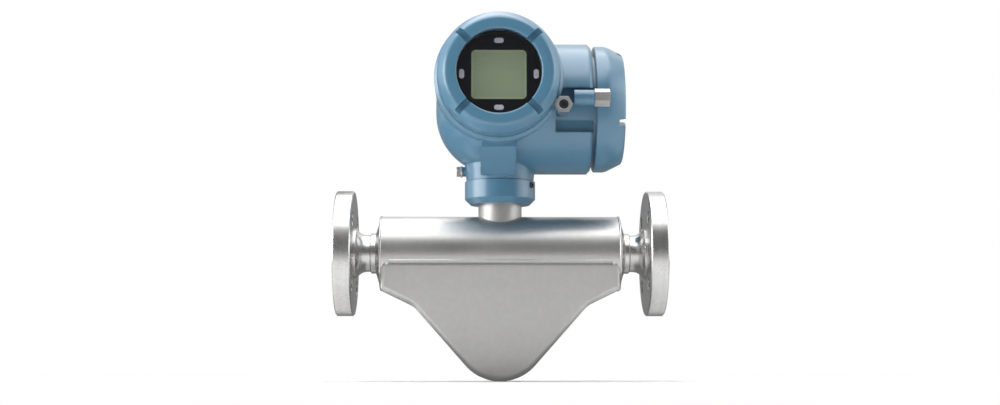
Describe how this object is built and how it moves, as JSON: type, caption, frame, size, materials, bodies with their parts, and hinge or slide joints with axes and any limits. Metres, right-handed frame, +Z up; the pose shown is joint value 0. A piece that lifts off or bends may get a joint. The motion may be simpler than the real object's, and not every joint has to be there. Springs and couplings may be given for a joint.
{
  "type": "coriolis flow meter",
  "caption": "Flanged inline mass flow meter: steel sensor case with a V-shaped belly on twin bent tubes, and a blue cast transmitter with a round display on a swivel neck.",
  "frame": {"origin": "centre of the inlet flange's sealing face, on the pipe axis", "axes": "+X along the pipe from inlet to outlet, +Z up from the pipe to the transmitter, and the display looks along -Y"},
  "size_m": [0.304, 0.166, 0.329],
  "materials": {
    "stainless": "satin drawn stainless steel",
    "satin_steel": "fine bead-blasted stainless steel",
    "machined_steel": "turned stainless steel",
    "coil_copper": "enamelled winding on a steel tab",
    "white_ceramic": "ceramic sensor",
    "seal_glass": "glass to metal seal",
    "gold_brass": "plated brass",
    "blue_paint": "semi-gloss powder coat on cast aluminium",
    "dark_screws": "darkened steel",
    "black_rubber": "moulded rubber",
    "potting": "dark potting compound",
    "window": "clear toughened glass",
    "black_plastic": "matt black moulding",
    "lcd_grey": "grey-green liquid crystal panel",
    "pad_white": "pale printed touch pads",
    "board_green": "circuit board",
    "terminal_grey": "moulded terminal strip"
  },
  "bodies": {
    "sensor": {"inlet_flange": "machined_steel", "outlet_flange": "machined_steel", "inlet_manifold": "stainless", "outlet_manifold": "stainless", "flow_tube_front": "stainless", "flow_tube_rear": "stainless", "inlet_brace_plate": "stainless", "outlet_brace_plate": "stainless", "drive_coil": "coil_copper", "drive_magnet": "machined_steel", "inlet_pickoff_coil": "coil_copper", "inlet_pickoff_magnet": "machined_steel", "outlet_pickoff_coil": "coil_copper", "outlet_pickoff_magnet": "machined_steel", "temperature_sensor": "white_ceramic", "case_tube": "satin_steel", "case_belly_front": "satin_steel", "case_belly_rear": "satin_steel", "inlet_end_cap": "satin_steel", "outlet_end_cap": "satin_steel", "sensor_neck": "satin_steel", "feedthrough_disc": "seal_glass", "feedthrough_pins": "gold_brass", "base_collar": "blue_paint", "collar_screws": "dark_screws"},
    "transmitter": {"swivel_oring": "black_rubber", "transmitter_housing": "blue_paint", "bulkhead_plug": "potting", "display_bezel": "black_plastic", "lcd_panel": "lcd_grey", "touch_pads": "pad_white", "display_board": "board_green", "display_standoffs": "gold_brass", "electronics_module": "potting", "module_screws": "machined_steel", "terminal_block": "terminal_grey", "terminal_screws": "gold_brass", "conduit_plugs": "blue_paint", "ground_washer": "machined_steel", "ground_screw": "machined_steel"},
    "display_seal_ring": {"display_cover_seal": "black_rubber"},
    "display_cover_set": {"display_cover": "blue_paint", "window_glass": "window", "window_retainer": "dark_screws"},
    "wiring_seal_ring": {"wiring_cover_seal": "black_rubber"},
    "wiring_cover_set": {"wiring_cover": "blue_paint"},
    "display_clamp_set": {"display_clamp": "machined_steel"},
    "display_screw_set": {"display_clamp_screw": "machined_steel"},
    "wiring_clamp_set": {"wiring_clamp": "machined_steel"},
    "wiring_screw_set": {"wiring_clamp_screw": "machined_steel"}
  },
  "joints": [
    {"name": "transmitter_swivel", "type": "hinge", "parent": "sensor", "child": "transmitter", "pos_m": [0.152, 0, 0.06], "axis": [0, 0, 1], "range_deg": [-175, 175]},
    {"name": "display_cover_travel", "type": "slide", "parent": "transmitter", "child": "display_seal_ring", "axis": [0, -1, 0], "range_m": [0, 0.013]},
    {"name": "display_cover_turn", "type": "hinge", "parent": "display_seal_ring", "child": "display_cover_set", "pos_m": [0.15, -0.066, 0.154], "axis": [0, -1, 0], "range_deg": [0, 2340]},
    {"name": "wiring_cover_travel", "type": "slide", "parent": "transmitter", "child": "wiring_seal_ring", "axis": [1, 0, 0], "range_m": [0, 0.012]},
    {"name": "wiring_cover_turn", "type": "hinge", "parent": "wiring_seal_ring", "child": "wiring_cover_set", "pos_m": [0.238, 0, 0.1345], "axis": [1, 0, 0], "range_deg": [0, 2160]},
    {"name": "display_clamp_swing", "type": "hinge", "parent": "transmitter", "child": "display_clamp_set", "pos_m": [0.20737, -0.063, 0.12725], "axis": [0, -1, 0], "range_deg": [0, 90]},
    {"name": "display_screw_turn", "type": "hinge", "parent": "transmitter", "child": "display_screw_set", "pos_m": [0.20737, -0.063, 0.12725], "axis": [0, -1, 0], "range_deg": [0, 360]},
    {"name": "wiring_clamp_swing", "type": "hinge", "parent": "transmitter", "child": "wiring_clamp_set", "pos_m": [0.235, -0.0673, 0.1345], "axis": [1, 0, 0], "range_deg": [0, 90]},
    {"name": "wiring_screw_turn", "type": "hinge", "parent": "transmitter", "child": "wiring_screw_set", "pos_m": [0.235, -0.0673, 0.1345], "axis": [1, 0, 0], "range_deg": [0, 360]}
  ],
  "couplings": [
    {"joint": "display_cover_travel", "follows": "display_cover_turn", "m_per_rad": 0.00031831},
    {"joint": "wiring_cover_travel", "follows": "wiring_cover_turn", "m_per_rad": 0.00031831}
  ]
}
